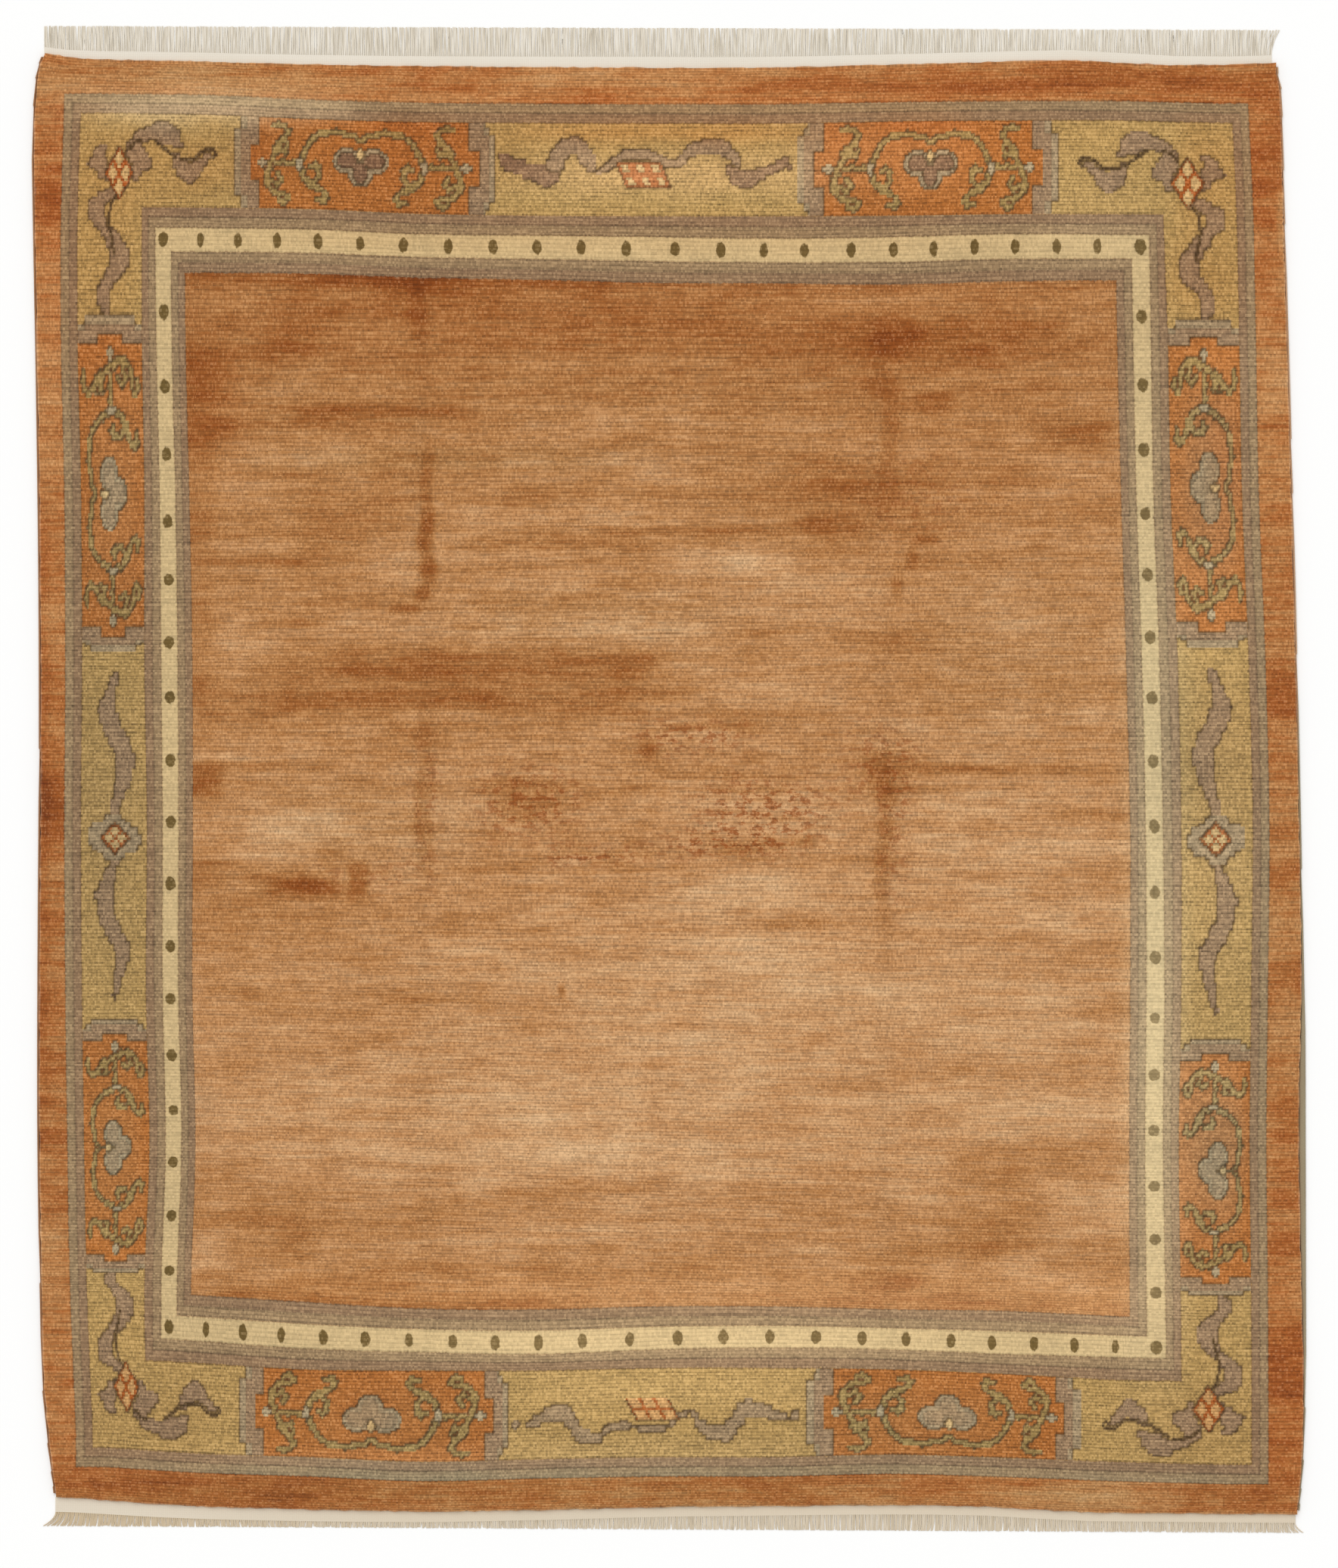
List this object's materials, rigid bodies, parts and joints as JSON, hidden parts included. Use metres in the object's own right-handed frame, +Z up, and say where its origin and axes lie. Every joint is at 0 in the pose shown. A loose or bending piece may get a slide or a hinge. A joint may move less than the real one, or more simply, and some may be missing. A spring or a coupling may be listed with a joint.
{
  "type": "nepalese rug",
  "caption": "Hand-knotted wool rug lying flat, with a plain field, a border of stripes and panels, flat-woven ends with fringe, and overcast sides.",
  "frame": {"origin": "on the floor under the middle of the whole rug's bounding box, fringe included", "axes": "+X runs across the rug to the picture's right, +Y along the rug to the picture's top, +Z up out of the pile"},
  "size_m": [2.5189, 2.9786, 0.011],
  "materials": {
    "wool_pile": "matte hand-knotted wool pile, terracotta with a patterned border",
    "cotton_warp": "matte undyed cotton warp, off-white",
    "overcast_wool": "matte wrapped wool yarn, grey olive"
  },
  "bodies": {
    "root": {"pile_cloth": "wool_pile", "fringe_top": "cotton_warp", "fringe_bottom": "cotton_warp", "overcast_left": "overcast_wool", "overcast_right": "overcast_wool"}
  },
  "joints": []
}
